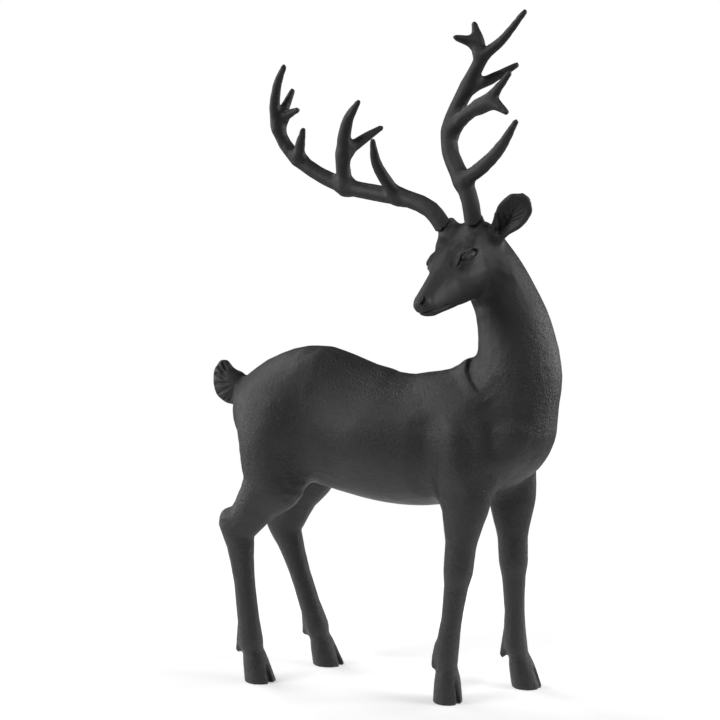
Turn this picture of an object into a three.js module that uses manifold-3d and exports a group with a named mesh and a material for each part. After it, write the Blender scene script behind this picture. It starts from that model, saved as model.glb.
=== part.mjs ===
// Cast iron stag, standing square with its head turned over its right shoulder.
// Millimetres, +Z up, +X the way the trunk faces, +Y the stag's left.
// Every form is a distance (negative inside), so limbs flow into the trunk with rounded joints.
// The summed form is skinned on a grid of tetrahedra, thinned to few triangles and cut flat at the soles.
import * as THREE from 'three';
import { mergeVertices } from 'three/addons/utils/BufferGeometryUtils.js';
import Module from 'manifold-3d';

const wasm = await Module();
wasm.setup();

// Trunk heights along the back and belly, and its half widths
const RUMP_TOP = 308;
const BACK_LOW = 285;
const WITHERS_TOP = 294.5;
const BELLY_LOW = 170;
const TRUNK_HALF_WIDTH = 54;

// Level of the soles below which the legs are cut flat; the other heights are measured in the same frame
const SOLE_LEVEL = 2;
const GROUND_BLOCK = [600, 400, 60];

// Half of the distance between the left and right hooves
const FRONT_TRACK = 34;
const HIND_TRACK = 36;

// Each leg's side (-1 right, 1 left), the x and z of its joints, the x of its hoof,
// the height of its spur and the turn of its toes
const FORE_RIGHT = {
  sign: -1,
  shoulder: [104, 262],
  elbow: [111, 184],
  knee: [105, 122],
  fetlock: [95, 46],
  hoof: 96,
  spur: 46,
  toes: -28,
};
const FORE_LEFT = {
  sign: 1,
  shoulder: [108, 262],
  elbow: [132.3, 178],
  knee: [134.7, 118],
  fetlock: [137.5, 42],
  hoof: 148.5,
  spur: 42,
  toes: -14,
};
const HIND_RIGHT = {
  sign: -1,
  hip: [-60, 250],
  stifle: [-69, 190],
  hock: [-104, 141],
  fetlock: [-93, 40],
  hoof: -84,
  spur: 42,
  toes: -24,
};
const HIND_LEFT = {
  sign: 1,
  hip: [-58, 250],
  stifle: [-69, 184],
  hock: [-88.5, 130],
  fetlock: [-57.5, 38],
  hoof: -46,
  spur: 43.5,
  toes: -14,
};

// Slot between the two toes of a hoof, and how far ahead of the hoof's middle it is
const CLEFT_LENGTH = 18;
const CLEFT_WIDTH = 4.4;
const CLEFT_HEIGHT = 30;
const CLEFT_LEAN = 0.25;
const CLEFT_AHEAD = 11;

// Radii of the blends where the forms of the casting run into each other
const LEG_BLEND = 14;
const NECK_BLEND = 12;
const HEAD_BLEND = 9;
const WITHERS_BLEND = 10;
const HOCK_BLEND = 10;
const BROW_BLEND = 8;
const SMALL_BLEND = 4;

// The head's crown, and how far the head turns to the right, bows and leans
const CROWN = new THREE.Vector3(99.5, -22, 421);
const HEAD_TURN = THREE.MathUtils.degToRad(102);
const HEAD_BOW = THREE.MathUtils.degToRad(36);
const HEAD_LEAN = THREE.MathUtils.degToRad(13);
const FACE_LENGTH = 95;

// Root, tip and opening of the ears in the head's own frame: the left one pricked, the right one laid back
const EAR_LEFT = {
  root: new THREE.Vector3(-4, 22.5, -20.5),
  tip: new THREE.Vector3(-21, 64.5, 4),
  opening: new THREE.Vector3(0.75, 0.5, 0.35),
};
const EAR_RIGHT = {
  root: new THREE.Vector3(-6, -20, -26),
  tip: new THREE.Vector3(-30, -54, -52),
  opening: new THREE.Vector3(0.6, -0.6, 0.3),
};
const EAR_EDGE = 2;

// Gap of the seam between an antler and its pedicle, and the seam's place in the head's own frame
const SEAM_GAP = 0.3;
const SEAM_FORWARD = -3;
const SEAM_ASIDE = 15;
const SEAM_RISE = 3;
const SEAM_SPLAY = 0.2;
const SEAM_BLOCK = [28, 27, 24];

// Antlers: how late a tine thins towards its tip, the tip's radius and the blend of a tine with its beam
const TINE_TAPER = 2.8;
const TINE_TIP = 2.4;
const TINE_BLEND = 7;

// Grid spacing of the skins and the triangles kept
const BODY_GRID = 2.4;
const ANTLER_GRID = 1.9;
const BODY_TRIANGLES = 6400;
const ANTLER_TRIANGLES = 1500;

const LEFT = new THREE.Vector3(0, 1, 0);
const RINGS_PER_SPAN = 5;
const FAR_ENOUGH = 45;

// A form is a distance with the box that holds it; far from the box the distance to the box will do
function form(box, distance) {
  const { min, max } = box;
  const at = (x, y, z) => {
    const dx = Math.max(min.x - x, x - max.x, 0);
    const dy = Math.max(min.y - y, y - max.y, 0);
    const dz = Math.max(min.z - z, z - max.z, 0);
    const away = Math.sqrt(dx * dx + dy * dy + dz * dz);
    return away > FAR_ENOUGH ? away : distance(x, y, z);
  };
  return { box, at };
}

// Distance to an ellipsoid of half axes a, b, c, from a point given in its own frame
function ovalDistance(x, y, z, a, b, c) {
  const near = Math.sqrt((x / a) ** 2 + (y / b) ** 2 + (z / c) ** 2);
  const slope = Math.sqrt((x / a ** 2) ** 2 + (y / b ** 2) ** 2 + (z / c ** 2) ** 2);
  return slope > 0 ? near * (near - 1) / slope : -Math.min(a, b, c);
}

function oval(middle, halves) {
  const [cx, cy, cz] = middle;
  const [a, b, c] = halves;
  const size = new THREE.Vector3(2 * a, 2 * b, 2 * c);
  const box = new THREE.Box3().setFromCenterAndSize(new THREE.Vector3(cx, cy, cz), size);
  return form(box, (x, y, z) => ovalDistance(x - cx, y - cy, z - cz, a, b, c));
}

// A limb: an oval section swept along a smooth spine. A station is [x, y, z, half width, half depth],
// the width lying along `across` and the depth square to both.
function limb(stations, across = LEFT) {
  const spine = new THREE.CatmullRomCurve3(stations.map((s) => new THREE.Vector3(s[0], s[1], s[2])));
  const girth = new THREE.CatmullRomCurve3(stations.map((s) => new THREE.Vector3(s[3], s[4], 0)));
  const count = (stations.length - 1) * RINGS_PER_SPAN;
  const box = new THREE.Box3();
  const rings = [];
  for (let i = 0; i <= count; i++) {
    const middle = spine.getPoint(i / count);
    const size = girth.getPoint(i / count);
    const along = spine.getTangent(i / count);
    const side = across.clone().projectOnPlane(along).normalize();
    const rise = along.clone().cross(side);
    rings.push({ middle, along, side, rise, wide: size.x, deep: size.y });
    const reach = new THREE.Vector3().setScalar(2 * Math.max(size.x, size.y));
    box.union(new THREE.Box3().setFromCenterAndSize(middle, reach));
  }
  return form(box, (x, y, z) => {
    let nearest = Infinity;
    for (let i = 0; i < count; i++) {
      nearest = Math.min(nearest, spanDistance(rings[i], rings[i + 1], x, y, z));
    }
    return nearest;
  });
}

// Distance to the stretch of a limb between two neighbouring rings
function spanDistance(a, b, x, y, z) {
  const ex = b.middle.x - a.middle.x;
  const ey = b.middle.y - a.middle.y;
  const ez = b.middle.z - a.middle.z;
  const px = x - a.middle.x;
  const py = y - a.middle.y;
  const pz = z - a.middle.z;
  const h = Math.min(Math.max((px * ex + py * ey + pz * ez) / (ex * ex + ey * ey + ez * ez), 0), 1);
  const k = 1 - h;
  const qx = px - ex * h;
  const qy = py - ey * h;
  const qz = pz - ez * h;
  const side = k * (qx * a.side.x + qy * a.side.y + qz * a.side.z)
    + h * (qx * b.side.x + qy * b.side.y + qz * b.side.z);
  const rise = k * (qx * a.rise.x + qy * a.rise.y + qz * a.rise.z)
    + h * (qx * b.rise.x + qy * b.rise.y + qz * b.rise.z);
  const past = k * (qx * a.along.x + qy * a.along.y + qz * a.along.z)
    + h * (qx * b.along.x + qy * b.along.y + qz * b.along.z);
  const wide = k * a.wide + h * b.wide;
  const deep = k * a.deep + h * b.deep;
  return ovalDistance(side, rise, past, wide, deep, Math.min(wide, deep));
}

// Smaller of two distances, with the joint between them rounded
function rounded(a, b, round) {
  const overlap = Math.max(round - Math.abs(a - b), 0) / round;
  return Math.min(a, b) - overlap * overlap * round / 4;
}

function join(round, ...forms) {
  const box = forms.reduce((all, one) => all.union(one.box), new THREE.Box3());
  return form(box, (x, y, z) => {
    let nearest = Infinity;
    for (const one of forms) nearest = rounded(nearest, one.at(x, y, z), round);
    return nearest;
  });
}

function carve(round, base, ...tools) {
  return form(base.box, (x, y, z) => {
    let inside = -base.at(x, y, z);
    for (const tool of tools) inside = rounded(inside, tool.at(x, y, z), round);
    return -inside;
  });
}

// A form made in its own frame and set in place by a rigid matrix
function placed(one, matrix) {
  const e = matrix.clone().invert().elements;
  return form(one.box.clone().applyMatrix4(matrix), (x, y, z) => one.at(
    e[0] * x + e[4] * y + e[8] * z + e[12],
    e[1] * x + e[5] * y + e[9] * z + e[13],
    e[2] * x + e[6] * y + e[10] * z + e[14],
  ));
}

const between = (a, b, share) => a.map((value, i) => value + (b[i] - value) * share);

// Trunk from the rump to the breast
function trunk() {
  const station = (x, top, bottom, width) => [x, 0, (top + bottom) / 2, width, (top - bottom) / 2];
  const barrel = limb([
    station(-86, 288, 206, 36),
    station(-68, 299, 194, 46),
    station(-38, RUMP_TOP, 184, 53),
    station(-5, 297.5, 176.5, 52),
    station(25, 286.5, BELLY_LOW + 1, TRUNK_HALF_WIDTH),
    station(60, BACK_LOW, BELLY_LOW, TRUNK_HALF_WIDTH),
    station(96, WITHERS_TOP, 177, 50),
    station(126, 298, 188, 44),
    station(141, 288, 196, 37),
  ]);
  const withers = oval([107, 0, 284], [16, 20, 19]);
  return join(WITHERS_BLEND, barrel, withers);
}

function neck() {
  return limb([
    [143, 0, 250, 42, 36],
    [148, 0, 290, 37, 37.5],
    [144, 0, 330, 31, 32.3],
    [135.5, -1, 356, 28, 28.5],
    [122, -4, 382, 25, 27],
    [111, -8, 400, 21, 23],
  ]);
}

// Stations shared by both forelegs: share of the way between two joints, half width and half depth
function foreleg(joints) {
  const { sign } = joints;
  const y = sign * FRONT_TRACK;
  const sole = [joints.hoof, SOLE_LEVEL];
  const at = ([x, z], wide, deep, inset = 0) => [x, y - sign * inset, z, wide, deep];
  return limb([
    at(joints.shoulder, 15, 26, 6),
    at(between(joints.shoulder, joints.elbow, 0.45), 18, 33, 1),
    at(between(joints.shoulder, joints.elbow, 0.75), 18, 29),
    at(joints.elbow, 16.5, 22.6),
    at(between(joints.elbow, joints.knee, 0.3), 14.5, 18.2),
    at(between(joints.elbow, joints.knee, 0.65), 12.5, 13.8),
    at(joints.knee, 12.8, 13.1),
    at(between(joints.knee, joints.fetlock, 0.2), 10, 10.8),
    at(between(joints.knee, joints.fetlock, 0.6), 9.2, 9.2),
    at(joints.fetlock, 10.8, 10.4),
    at(between(joints.fetlock, sole, 0.27), 9.8, 9.2),
    at(between(joints.fetlock, sole, 0.52), 11.6, 11.2),
    at(between(joints.fetlock, sole, 0.75), 12.8, 12.4),
    at(between(joints.fetlock, sole, 1.15), 14, 13.2),
  ]);
}

function hindleg(joints) {
  const { sign } = joints;
  const y = sign * HIND_TRACK;
  const sole = [joints.hoof, SOLE_LEVEL];
  const at = ([x, z], wide, deep, inset = 0) => [x, y - sign * inset, z, wide, deep];
  const bones = limb([
    at(joints.hip, 22, 46, 9),
    at(between(joints.hip, joints.stifle, 0.5), 23, 39, 3),
    at(joints.stifle, 19, 31),
    at(between(joints.stifle, joints.hock, 0.4), 15, 21),
    at(between(joints.stifle, joints.hock, 0.75), 12.5, 17),
    at(joints.hock, 11.5, 15.5),
    at(between(joints.hock, joints.fetlock, 0.12), 10.5, 13.2),
    at(between(joints.hock, joints.fetlock, 0.28), 10, 11),
    at(between(joints.hock, joints.fetlock, 0.5), 9.2, 9.6),
    at(between(joints.hock, joints.fetlock, 0.78), 9.4, 9.9),
    at(joints.fetlock, 10.8, 11.2),
    at(between(joints.fetlock, sole, 0.27), 9.8, 9.6),
    at(between(joints.fetlock, sole, 0.5), 11.6, 11.2),
    at(between(joints.fetlock, sole, 0.75), 13, 12.6),
    at(between(joints.fetlock, sole, 1.15), 14.5, 14.8),
  ]);
  const [hockX, hockZ] = joints.hock;
  const heel = oval([hockX - 11.5, y, hockZ + 9], [6.5, 6.5, 9]);
  return join(HOCK_BLEND, bones, heel);
}

// Short blunt spur behind a fetlock
function dewclaw(track, joints) {
  const [x] = joints.fetlock;
  const y = joints.sign * track;
  const z = joints.spur;
  return limb([
    [x - 6, y, z + 6, 5, 5],
    [x - 10, y, z - 4, 4.2, 3.6],
    [x - 12, y, z - 13, 3, 2.6],
  ]);
}

// Short scut turned up at the tip, fanning out in the upright plane
function tail() {
  return limb([
    [-96, 0, 265.5, 10, 11],
    [-112, 0, 263.5, 10, 12.5],
    [-126, 0, 267.5, 10, 17.5],
    [-133, 0, 278, 8, 11.5],
    [-134, 0, 286, 5, 6],
  ]);
}

// Frame of the head: x along the face to the nose, y to the head's left, z square up from the face
function headFrame() {
  const turn = new THREE.Matrix4().makeRotationZ(-HEAD_TURN);
  const bow = new THREE.Matrix4().makeRotationY(HEAD_BOW);
  const lean = new THREE.Matrix4().makeRotationX(HEAD_LEAN);
  const place = new THREE.Matrix4().makeTranslation(CROWN);
  return place.multiply(turn).multiply(bow).multiply(lean);
}

function skull() {
  const core = limb([
    [-8, 0, -31, 20, 26],
    [12, 0, -30.5, 24, 26],
    [32, 0, -27, 22.5, 25],
    [50, 0, -23.5, 16.4, 20],
    [68, 0, -19.3, 12.4, 15.6],
    [82, 0, -16, 10.4, 11.8],
    [FACE_LENGTH - 8, 0, -13, 9, 8.7],
  ]);
  const eye = (sign) => oval([33, sign * 17, -11], [7.5, 4, 6]);
  const brow = (sign) => limb([
    [0, sign * 15, -5.5, 8, 8],
    [13, sign * 15.5, -11, 6.5, 6.5],
    [26, sign * 15.5, -12.5, 5, 5],
  ]);
  return join(BROW_BLEND, core, eye(1), eye(-1), brow(1), brow(-1));
}

function pedicle(sign) {
  return limb([
    [4, sign * 11, -18, 11, 11],
    [SEAM_FORWARD, sign * (SEAM_ASIDE - 1), SEAM_RISE - 6, 8.6, 8.6],
    [SEAM_FORWARD, sign * (SEAM_ASIDE + 1), SEAM_RISE + 5, 8.2, 8.2],
  ], new THREE.Vector3(1, 0, 0));
}

// Leaf-shaped ear from its root to its tip, with a hollow on the side that it opens to
function ear({ root, tip, opening }) {
  const along = tip.clone().sub(root);
  const length = along.length();
  along.normalize();
  const facing = opening.clone().projectOnPlane(along).normalize();
  const across = facing.clone().cross(along);
  const station = (share, forward, wide, deep) => {
    const middle = root.clone().addScaledVector(along, share * length).addScaledVector(facing, forward);
    return [middle.x, middle.y, middle.z, wide, deep];
  };
  const leaf = limb([
    station(0, 0, 7, 7.5),
    station(0.25, 0, 9, 8),
    station(0.55, 0, 14, 7),
    station(0.8, 0, 13, 5.5),
    station(0.94, 0, 6.5, 3.5),
  ], across);
  const hollow = limb([
    station(0.28, 6, 5, 5),
    station(0.56, 5.5, 11.8, 6),
    station(0.84, 5, 9.6, 4.5),
  ], across);
  return carve(EAR_EDGE, leaf, hollow);
}

// One antler: a tapering beam with its tines, each a list of points and the radius that it starts with
function antler(beam, tines) {
  const rod = ({ points, from }) => limb(points.map(([x, y, z], i) => {
    const radius = THREE.MathUtils.lerp(from, TINE_TIP, (i / (points.length - 1)) ** TINE_TAPER);
    return [x, y, z, radius, radius];
  }), new THREE.Vector3(0.3, 1, 0.2));
  return join(TINE_BLEND, rod(beam), ...tines.map(rod));
}

const LEFT_BEAM = {
  points: [[115, -28, 420], [110, -27, 446], [99, -22, 466], [88.5, -15, 486], [87.5, -9, 508],
    [97.5, -7, 532], [108.5, -10, 552], [119, -15, 566], [135, -19, 578], [157, -26, 601.5]],
  from: 7.6,
};
const LEFT_TINES = [
  { points: [[103, -24, 460], [124, -37, 472], [144, -50, 489], [161, -62, 511]], from: 6.2 },
  { points: [[88, -10, 502], [105, -18, 516.5], [126, -27, 528.5], [147.5, -36, 551]], from: 6.2 },
  { points: [[118, -24, 523], [133, -31, 525], [145.5, -37, 518.5]], from: 5.4 },
  { points: [[104, -8, 539], [118, 0, 545], [140, 10, 558]], from: 5 },
  { points: [[113, -14, 569], [111, -10, 581], [106, -4, 593]], from: 4.8 },
  { points: [[111, -11, 575.5], [103, -15, 578.5], [94.5, -20, 581]], from: 4.4 },
];
const RIGHT_BEAM = {
  points: [[88, -18, 414], [72, -14, 433], [48, -6, 442], [15, 5, 446], [-22, 14, 452], [-56.5, 19, 467],
    [-80.5, 20, 488], [-88, 15, 517], [-82.5, 9, 542], [-74, 4, 557]],
  from: 7.6,
};
const RIGHT_TINES = [
  { points: [[38, -3, 443], [29, -14, 459], [24, -24, 475], [24, -32, 493]], from: 5.5 },
  { points: [[-19, 14, 449], [-19.5, 8, 472], [-16, 2, 493], [-9.5, -4, 511], [2, -10, 526]], from: 6.6 },
  { points: [[-16, 4, 480], [-5, 14, 491.5], [10.5, 25, 503]], from: 5 },
  { points: [[-67, 20, 474], [-62.5, 12, 486], [-56, 4, 501]], from: 5 },
  { points: [[-86, 19, 503], [-83.5, 24, 517], [-77, 30, 535.5]], from: 5 },
  { points: [[-83, 21, 511], [-74, 15, 515], [-63, 8, 518.5]], from: 4.2 },
];

// Skin of a form: each grid cell is six tetrahedra, and the surface crosses each in one or two triangles
const BLOCK = 4;
const EDGE_MARGIN = 0.02;
const AXIS_ORDERS = [[0, 1, 2], [0, 2, 1], [1, 0, 2], [1, 2, 0], [2, 0, 1], [2, 1, 0]];

function skin(shape, spacing) {
  const low = shape.box.min.clone().subScalar(2 * spacing);
  const span = shape.box.max.clone().addScalar(2 * spacing).sub(low);
  const blocks = [span.x, span.y, span.z].map((length) => Math.ceil(length / spacing / BLOCK));
  const counts = blocks.map((n) => n * BLOCK + 1);
  const stride = [1, counts[0], counts[0] * counts[1]];
  const values = new Float64Array(counts[0] * counts[1] * counts[2]).fill(NaN);
  const place = (node) => {
    const k = Math.floor(node / stride[2]);
    const j = Math.floor((node - k * stride[2]) / stride[1]);
    const i = node - k * stride[2] - j * stride[1];
    return [low.x + i * spacing, low.y + j * spacing, low.z + k * spacing];
  };
  const value = (node) => {
    if (Number.isNaN(values[node])) values[node] = shape.at(...place(node));
    return values[node];
  };

  const positions = [];
  const triangles = [];
  const crossings = new Map();
  const crossing = (inner, outer) => {
    const first = Math.min(inner, outer);
    const key = first * values.length + Math.max(inner, outer);
    if (!crossings.has(key)) {
      const cut = values[inner] / (values[inner] - values[outer]);
      const share = THREE.MathUtils.clamp(cut, EDGE_MARGIN, 1 - EDGE_MARGIN);
      const a = place(inner);
      const b = place(outer);
      crossings.set(key, positions.length / 3);
      positions.push(...between(a, b, share));
    }
    return crossings.get(key);
  };
  const corner = (vertex) => new THREE.Vector3().fromArray(positions, 3 * vertex);
  const addTriangle = (a, b, c, outward) => {
    const p = corner(a);
    const normal = corner(b).sub(p).cross(corner(c).sub(p));
    if (normal.dot(outward) > 0) triangles.push(a, b, c);
    else triangles.push(a, c, b);
  };
  const centre = (nodes) => nodes
    .reduce((sum, node) => sum.add(new THREE.Vector3(...place(node))), new THREE.Vector3())
    .divideScalar(nodes.length);
  const addTetrahedron = (nodes) => {
    const inner = nodes.filter((node) => values[node] < 0);
    const outer = nodes.filter((node) => values[node] >= 0);
    if (inner.length === 0 || outer.length === 0) return;
    const outward = centre(outer).sub(centre(inner));
    if (inner.length === 2) {
      const [a, b] = inner;
      const [c, d] = outer;
      addTriangle(crossing(a, c), crossing(a, d), crossing(b, d), outward);
      addTriangle(crossing(a, c), crossing(b, d), crossing(b, c), outward);
    } else {
      const pairs = inner.length === 1
        ? outer.map((node) => crossing(inner[0], node))
        : inner.map((node) => crossing(node, outer[0]));
      addTriangle(...pairs, outward);
    }
  };
  const addCell = (node) => {
    const last = node + stride[0] + stride[1] + stride[2];
    const seen = [0, stride[0], stride[1], stride[2], stride[0] + stride[1], stride[0] + stride[2],
      stride[1] + stride[2], last - node].map((step) => value(node + step) < 0);
    if (seen.every((inside) => inside === seen[0])) return;
    for (const [a, b] of AXIS_ORDERS) {
      addTetrahedron([node, node + stride[a], node + stride[a] + stride[b], last]);
    }
  };

  const reach = BLOCK * spacing * Math.sqrt(3);
  for (let block = 0; block < blocks[0] * blocks[1] * blocks[2]; block++) {
    const i = (block % blocks[0]) * BLOCK;
    const j = (Math.floor(block / blocks[0]) % blocks[1]) * BLOCK;
    const k = Math.floor(block / blocks[0] / blocks[1]) * BLOCK;
    const middle = [i, j, k].map((step) => (step + BLOCK / 2) * spacing);
    if (Math.abs(shape.at(low.x + middle[0], low.y + middle[1], low.z + middle[2])) > reach) continue;
    for (let cell = 0; cell < BLOCK ** 3; cell++) {
      const di = cell % BLOCK;
      const dj = Math.floor(cell / BLOCK) % BLOCK;
      const dk = Math.floor(cell / BLOCK ** 2);
      addCell(i + di + (j + dj) * stride[1] + (k + dk) * stride[2]);
    }
  }
  return { positions, triangles };
}

// Thins a skin by collapsing, again and again, the edge whose loss moves the surface least.
// Each point keeps the squared distance to the planes around it as a symmetric 4 x 4 form of ten numbers.
const TERMS = 10;
const LEAST_DETERMINANT = 1e-4;
const LENGTH_WEIGHT = 1e-4;
const LEAST_FACE = 0.03;
const MOST_TURN_COSINE = 0.3;

function thin({ positions, triangles }, wanted) {
  const points = positions.length / 3;
  const faces = triangles.length / 3;
  const planes = new Float64Array(points * TERMS);
  const fans = Array.from({ length: points }, () => []);
  const version = new Int32Array(points);
  const gone = new Uint8Array(faces);
  const place = (p) => new THREE.Vector3(positions[3 * p], positions[3 * p + 1], positions[3 * p + 2]);
  const squareTo = (a, b, c) => b.clone().sub(a).cross(c.clone().sub(a));

  for (let face = 0; face < faces; face++) {
    const ring = [triangles[3 * face], triangles[3 * face + 1], triangles[3 * face + 2]];
    const first = place(ring[0]);
    const normal = squareTo(first, place(ring[1]), place(ring[2]));
    const area = normal.length() / 2;
    normal.normalize();
    const plane = [normal.x, normal.y, normal.z, -normal.dot(first)];
    for (const p of ring) {
      fans[p].push(face);
      let term = p * TERMS;
      for (let i = 0; i < 4; i++) {
        for (let j = i; j < 4; j++) planes[term++] += area * plane[i] * plane[j];
      }
    }
  }

  // Best place for the point that an edge collapses to, and how far it leaves the planes
  const plan = (u, v) => {
    const q = [];
    for (let i = 0; i < TERMS; i++) q.push(planes[u * TERMS + i] + planes[v * TERMS + i]);
    const start = place(u);
    const end = place(v);
    const length = start.distanceToSquared(end);
    let spot = start.lerp(end, 0.5);
    const rows = new THREE.Matrix3(q[0], q[1], q[2], q[1], q[4], q[5], q[2], q[5], q[7]);
    const scale = (q[0] + q[4] + q[7]) / 3;
    if (Math.abs(rows.determinant()) > LEAST_DETERMINANT * scale ** 3) {
      const best = new THREE.Vector3(-q[3], -q[6], -q[8]).applyMatrix3(rows.invert());
      if (best.distanceToSquared(spot) < length) spot = best;
    }
    const { x, y, z } = spot;
    const miss = q[0] * x * x + q[4] * y * y + q[7] * z * z + q[9]
      + 2 * (q[1] * x * y + q[2] * x * z + q[5] * y * z + q[3] * x + q[6] * y + q[8] * z);
    const cost = Math.max(miss, 0) + LENGTH_WEIGHT * length * length;
    return { u, v, spot, cost, stamp: version[u] + version[v] };
  };

  const heap = [];
  const push = (item) => {
    let i = heap.push(item) - 1;
    while (i > 0) {
      const parent = (i - 1) >> 1;
      if (heap[parent].cost <= item.cost) break;
      heap[i] = heap[parent];
      i = parent;
    }
    heap[i] = item;
  };
  const pop = () => {
    const top = heap[0];
    const item = heap.pop();
    let i = 0;
    while (heap.length > 0) {
      let child = 2 * i + 1;
      if (child >= heap.length) break;
      if (child + 1 < heap.length && heap[child + 1].cost < heap[child].cost) child += 1;
      if (heap[child].cost >= item.cost) break;
      heap[i] = heap[child];
      i = child;
    }
    if (heap.length > 0) heap[i] = item;
    return top;
  };

  const around = (p) => {
    const ring = new Set();
    for (const face of fans[p]) {
      for (let i = 0; i < 3; i++) ring.add(triangles[3 * face + i]);
    }
    ring.delete(p);
    return ring;
  };
  // A face that keeps only one end of the collapsed edge must not turn over
  const keepsFacing = (p, other, spot) => {
    for (const face of fans[p]) {
      const ring = [triangles[3 * face], triangles[3 * face + 1], triangles[3 * face + 2]];
      if (ring.includes(other)) continue;
      const before = squareTo(place(ring[0]), place(ring[1]), place(ring[2]));
      const [a, b, c] = ring.map((q) => (q === p ? spot : place(q)));
      const after = squareTo(a, b, c);
      const size = after.length();
      if (size < LEAST_FACE || before.dot(after) < MOST_TURN_COSINE * size * before.length()) return false;
    }
    return true;
  };

  for (let face = 0; face < faces; face++) {
    for (let i = 0; i < 3; i++) {
      const p = triangles[3 * face + i];
      const q = triangles[3 * face + (i + 1) % 3];
      if (p < q) push(plan(p, q));
    }
  }
  let left = faces;
  while (left > wanted && heap.length > 0) {
    const { u, v, spot, stamp } = pop();
    if (version[u] < 0 || version[v] < 0 || stamp !== version[u] + version[v]) continue;
    const ring = around(u);
    const shared = [...around(v)].filter((p) => ring.has(p));
    if (shared.length !== 2 || !keepsFacing(u, v, spot) || !keepsFacing(v, u, spot)) continue;
    for (const face of fans[v]) {
      if (fans[u].includes(face)) {
        gone[face] = 1;
        left -= 1;
      } else {
        for (let i = 0; i < 3; i++) {
          if (triangles[3 * face + i] === v) triangles[3 * face + i] = u;
        }
        fans[u].push(face);
      }
    }
    for (const p of [u, ...shared]) fans[p] = fans[p].filter((face) => gone[face] === 0);
    spot.toArray(positions, 3 * u);
    for (let i = 0; i < TERMS; i++) planes[u * TERMS + i] += planes[v * TERMS + i];
    version[u] += 1;
    version[v] = -1;
    for (const p of around(u)) push(plan(u, p));
  }

  const index = [];
  for (let face = 0; face < faces; face++) {
    if (gone[face] === 0) index.push(triangles[3 * face], triangles[3 * face + 1], triangles[3 * face + 2]);
  }
  const geometry = new THREE.BufferGeometry();
  geometry.setAttribute('position', new THREE.Float32BufferAttribute(positions, 3));
  geometry.setIndex(index);
  return geometry.toNonIndexed();
}

function solid(geometry) {
  geometry.deleteAttribute('normal');
  geometry.deleteAttribute('uv');
  const merged = mergeVertices(geometry);
  return new wasm.Manifold(new wasm.Mesh({
    numProp: 3,
    vertProperties: new Float32Array(merged.attributes.position.array),
    triVerts: new Uint32Array(merged.index.array),
  }));
}

function namedMesh(name, piece, material) {
  const { vertProperties, triVerts } = piece.getMesh();
  const geometry = new THREE.BufferGeometry();
  geometry.setAttribute('position', new THREE.BufferAttribute(vertProperties, 3));
  geometry.setIndex(new THREE.BufferAttribute(triVerts, 1));
  geometry.computeVertexNormals();
  const mesh = new THREE.Mesh(geometry, material);
  mesh.name = name;
  return mesh;
}

// Block on one side of the seam plane of an antler, reaching half of the gap past it
function seamBlock(sign, above) {
  const up = new THREE.Vector3(0, sign * SEAM_SPLAY, 1).normalize();
  const tilt = new THREE.Quaternion().setFromUnitVectors(new THREE.Vector3(0, 0, 1), up);
  const middle = new THREE.Vector3(SEAM_FORWARD, sign * SEAM_ASIDE, SEAM_RISE);
  const [, , depth] = SEAM_BLOCK;
  const block = new THREE.BoxGeometry(...SEAM_BLOCK);
  block.translate(0, 0, (above ? 1 : -1) * (depth - SEAM_GAP) / 2);
  block.applyQuaternion(tilt);
  block.translate(middle.x, middle.y, middle.z);
  return solid(block.applyMatrix4(headFrame()));
}

// Narrow wedge that parts the two toes of a hoof
function cleft(track, joints) {
  const wedge = new THREE.ConeGeometry(0.5, CLEFT_HEIGHT, 4);
  wedge.rotateX(Math.PI / 2);
  wedge.scale(CLEFT_LENGTH, CLEFT_WIDTH, 1);
  wedge.rotateY(-CLEFT_LEAN);
  wedge.translate(CLEFT_AHEAD, 0, 0.4 * CLEFT_HEIGHT);
  wedge.rotateZ(THREE.MathUtils.degToRad(joints.toes));
  return solid(wedge.translate(joints.hoof, joints.sign * track, SOLE_LEVEL));
}

function body() {
  const frame = headFrame();
  const head = join(SMALL_BLEND, skull(), pedicle(1), pedicle(-1), ear(EAR_LEFT), ear(EAR_RIGHT));
  const fore = [FORE_RIGHT, FORE_LEFT];
  const hind = [HIND_RIGHT, HIND_LEFT];
  const legs = [...fore.map(foreleg), ...hind.map(hindleg)];
  const spurs = [
    ...fore.map((joints) => dewclaw(FRONT_TRACK, joints)),
    ...hind.map((joints) => dewclaw(HIND_TRACK, joints)),
  ];
  const limbs = join(LEG_BLEND, trunk(), ...legs);
  const upper = join(NECK_BLEND, limbs, neck());
  const headed = join(HEAD_BLEND, upper, placed(head, frame));
  const whole = join(SMALL_BLEND, headed, tail(), ...spurs);
  const casting = solid(thin(skin(whole, BODY_GRID), BODY_TRIANGLES));
  const [, , groundDepth] = GROUND_BLOCK;
  const ground = solid(new THREE.BoxGeometry(...GROUND_BLOCK).translate(0, 0, SOLE_LEVEL - groundDepth / 2));
  const cuts = [
    ground,
    seamBlock(1, true),
    seamBlock(-1, true),
    ...fore.map((joints) => cleft(FRONT_TRACK, joints)),
    ...hind.map((joints) => cleft(HIND_TRACK, joints)),
  ];
  return cuts.reduce((rest, cut) => rest.subtract(cut), casting);
}

function horn(sign, beam, tines) {
  const rough = solid(thin(skin(antler(beam, tines), ANTLER_GRID), ANTLER_TRIANGLES));
  return rough.subtract(seamBlock(sign, false));
}

const IRON_COLOUR = 0x2b2b2d;
const ironFinish = () => new THREE.MeshStandardMaterial({
  color: IRON_COLOUR,
  roughness: 0.7,
  metalness: 0.3,
});

const stag = new THREE.Group();
stag.add(namedMesh('body', body(), ironFinish()));
stag.add(namedMesh('antler_left', horn(1, LEFT_BEAM, LEFT_TINES), ironFinish()));
stag.add(namedMesh('antler_right', horn(-1, RIGHT_BEAM, RIGHT_TINES), ironFinish()));

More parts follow.
